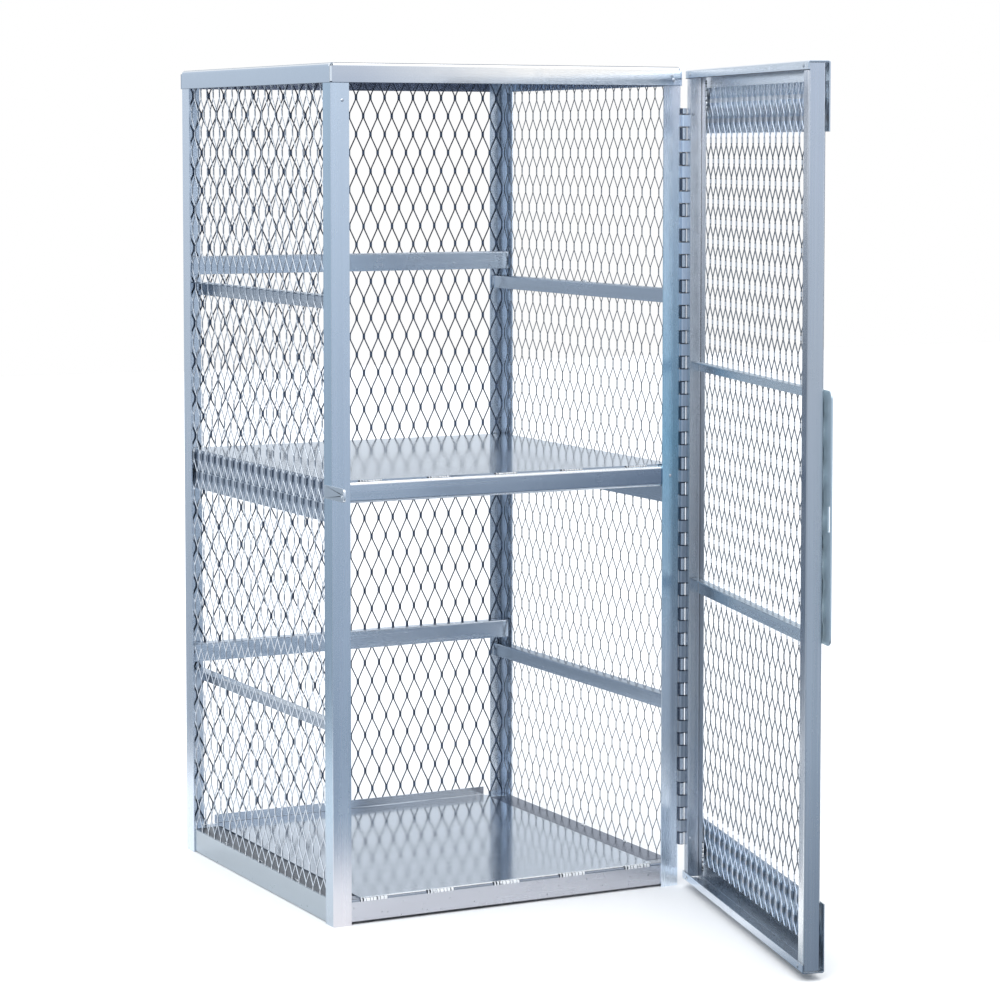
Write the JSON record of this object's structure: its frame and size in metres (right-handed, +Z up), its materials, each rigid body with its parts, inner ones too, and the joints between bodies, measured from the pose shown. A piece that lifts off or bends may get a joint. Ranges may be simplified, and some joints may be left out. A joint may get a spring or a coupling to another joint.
{
  "type": "gas cylinder cabinet",
  "caption": "Upright aluminium storage cabinet with expanded mesh sides, back and door, folded roof, floor and shelf, continuous hinge, and a slotted latch plate that closes over a strap.",
  "frame": {"origin": "outer bottom corner of the front left post, on the floor", "axes": "+X to the right along the front, +Y from the front into the cabinet, +Z up"},
  "size_m": [0.814, 1.5359, 1.651],
  "materials": {
    "angle_aluminium": "mill finish, extruded",
    "mesh_aluminium": "mill finish, expanded",
    "sheet_aluminium": "bright mill sheet",
    "rivet_aluminium": "bright",
    "weld_aluminium": "as welded",
    "hinge_aluminium": "mill finish",
    "pin_steel": "drawn",
    "latch_aluminium": "mill finish",
    "rail_aluminium": "mill finish sheet"
  },
  "bodies": {
    "cabinet": {"post_front_left": "angle_aluminium", "post_front_right": "angle_aluminium", "post_rear_left": "angle_aluminium", "post_rear_right": "angle_aluminium", "roof_pan": "sheet_aluminium", "roof_rivets": "rivet_aluminium", "base_rail_front": "rail_aluminium", "base_rail_rear": "rail_aluminium", "base_rail_left": "rail_aluminium", "base_rail_right": "rail_aluminium", "floor_pan": "sheet_aluminium", "floor_welds": "weld_aluminium", "low_rail_left": "rail_aluminium", "low_rail_right": "rail_aluminium", "low_rail_rear": "rail_aluminium", "high_rail_left": "rail_aluminium", "high_rail_right": "rail_aluminium", "high_rail_rear": "rail_aluminium", "shelf_rail_left": "rail_aluminium", "shelf_rail_right": "rail_aluminium", "shelf_front": "rail_aluminium", "shelf_pan": "sheet_aluminium", "shelf_welds": "weld_aluminium", "shelf_rivets": "rivet_aluminium", "mesh_left": "mesh_aluminium", "mesh_right": "mesh_aluminium", "mesh_rear": "mesh_aluminium", "mesh_tacks": "weld_aluminium", "latch_strap": "latch_aluminium", "hinge_leaf_post": "hinge_aluminium", "hinge_pin": "pin_steel"},
    "door": {"hinge_leaf_door": "hinge_aluminium", "door_cap_top": "rail_aluminium", "door_cap_bottom": "rail_aluminium", "door_stile_hinge": "angle_aluminium", "door_stile_latch": "angle_aluminium", "door_rail_lower": "rail_aluminium", "door_rail_upper": "rail_aluminium", "door_mesh": "mesh_aluminium", "door_welds": "weld_aluminium", "door_rivets": "rivet_aluminium", "latch_plate": "latch_aluminium"}
  },
  "joints": [
    {"name": "door_hinge", "type": "hinge", "parent": "cabinet", "child": "door", "pos_m": [0.7682, -0.002, 0.8265], "axis": [0, 0, 1], "range_deg": [-76, 110]}
  ]
}
